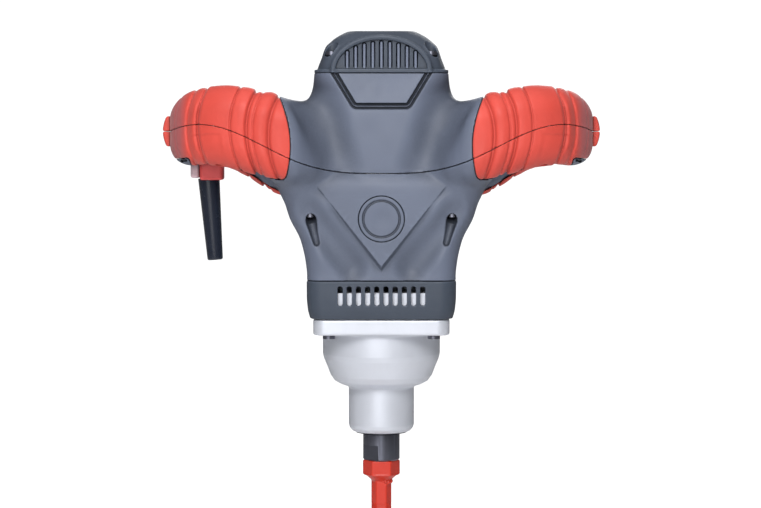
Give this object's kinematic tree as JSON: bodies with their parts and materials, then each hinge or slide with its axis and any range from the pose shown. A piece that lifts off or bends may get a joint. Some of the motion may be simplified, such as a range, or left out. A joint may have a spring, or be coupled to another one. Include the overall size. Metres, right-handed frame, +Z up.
{
  "type": "two-handed paint and mortar mixer",
  "caption": "Electric hand mixer for paint and mortar: ring handles with soft grips, a motor column, a geared neck, and a screw-in mixing paddle.",
  "frame": {"origin": "centre of the cylindrical neck collar, on the spindle axis", "axes": "+Z up along the spindle axis to the motor cap, -Y the front face with the badge, +X the handle with the trigger"},
  "size_m": [0.2968, 0.1358, 0.6914],
  "materials": {
    "cap_plastic": "fine moulded grain, dark slate grey",
    "shell_plastic": "fine moulded grain, slate grey",
    "grip_rubber": "soft moulded rubber, satin red",
    "clamp_plastic": "moulded plastic, red",
    "black_rubber": "matt black rubber",
    "black_plastic": "fine moulded grain, black",
    "dark_steel": "blackened steel",
    "bright_steel": "ground steel",
    "copper": "enamelled copper",
    "brass": "drawn brass",
    "carbon": "pressed carbon",
    "cast_alloy": "blasted die-cast aluminium",
    "paddle_paint": "powder-coated steel, red"
  },
  "bodies": {
    "housing": {"top_cap": "cap_plastic", "top_cap_screws": "dark_steel", "upper_housing": "shell_plastic", "lower_housing": "shell_plastic", "front_service_cover": "shell_plastic", "rear_service_cover": "shell_plastic", "badge": "shell_plastic", "left_grip_upper": "grip_rubber", "left_grip_lower": "grip_rubber", "right_grip_upper": "grip_rubber", "right_grip_lower": "grip_rubber", "left_bumpers": "grip_rubber", "right_bumpers": "grip_rubber", "housing_screws": "dark_steel", "vent_collar": "cap_plastic", "cord_clamp": "clamp_plastic", "cord_sleeve": "black_rubber", "power_cord": "black_rubber", "trigger_pin": "bright_steel", "switch_body": "black_plastic", "control_module": "black_plastic", "stator_core": "bright_steel", "field_coils": "copper", "fan_baffle": "black_plastic", "brush_holders": "brass", "carbon_brushes": "carbon", "brush_springs": "bright_steel", "bearing_bridge": "black_plastic", "upper_bearing_outer": "bright_steel", "lower_bearing_outer": "bright_steel", "gear_plate": "cast_alloy", "gear_case": "cast_alloy", "gear_case_screws": "dark_steel", "gasket": "dark_steel", "layshaft_bushes": "brass", "spindle_bearings_outer": "bright_steel", "shaft_seal": "black_rubber"},
    "spindle": {"spindle": "dark_steel", "output_wheel": "bright_steel", "output_key": "bright_steel", "circlip": "dark_steel", "spindle_bearings_inner": "bright_steel", "paddle_stem": "paddle_paint", "paddle_basket": "paddle_paint"},
    "layshaft": {"layshaft": "bright_steel", "layshaft_wheel": "bright_steel"},
    "armature": {"armature_shaft": "bright_steel", "armature_core": "bright_steel", "armature_windings": "copper", "commutator": "copper", "cooling_fan": "black_plastic", "upper_bearing_inner": "bright_steel", "lower_bearing_inner": "bright_steel"},
    "trigger": {"trigger": "black_plastic"},
    "lock_button": {"lock_button": "black_plastic"},
    "speed_dial": {"speed_dial": "black_plastic"}
  },
  "joints": [
    {"name": "spindle_spin", "type": "hinge", "parent": "housing", "child": "spindle", "pos_m": [0, 0, 0], "axis": [0, 0, 1], "continuous": true},
    {"name": "layshaft_spin", "type": "hinge", "parent": "housing", "child": "layshaft", "pos_m": [0.01556, 0.01556, 0.05], "axis": [0, 0, 1], "continuous": true},
    {"name": "armature_spin", "type": "hinge", "parent": "housing", "child": "armature", "pos_m": [0, 0, 0.15], "axis": [0, 0, 1], "continuous": true},
    {"name": "trigger_press", "type": "hinge", "parent": "housing", "child": "trigger", "pos_m": [0.105, -0.036, 0.188], "axis": [0, 0, 1], "range_deg": [0, 5]},
    {"name": "lock_button_press", "type": "slide", "parent": "housing", "child": "lock_button", "axis": [0, -1, 0], "range_m": [0, 0.003]},
    {"name": "speed_dial_turn", "type": "hinge", "parent": "housing", "child": "speed_dial", "pos_m": [0, 0.041, 0.193], "axis": [0, 0, 1], "range_deg": [0, 270]}
  ],
  "couplings": [
    {"joint": "layshaft_spin", "follows": "spindle_spin", "ratio": -3.4},
    {"joint": "armature_spin", "follows": "spindle_spin", "ratio": 19.975}
  ]
}
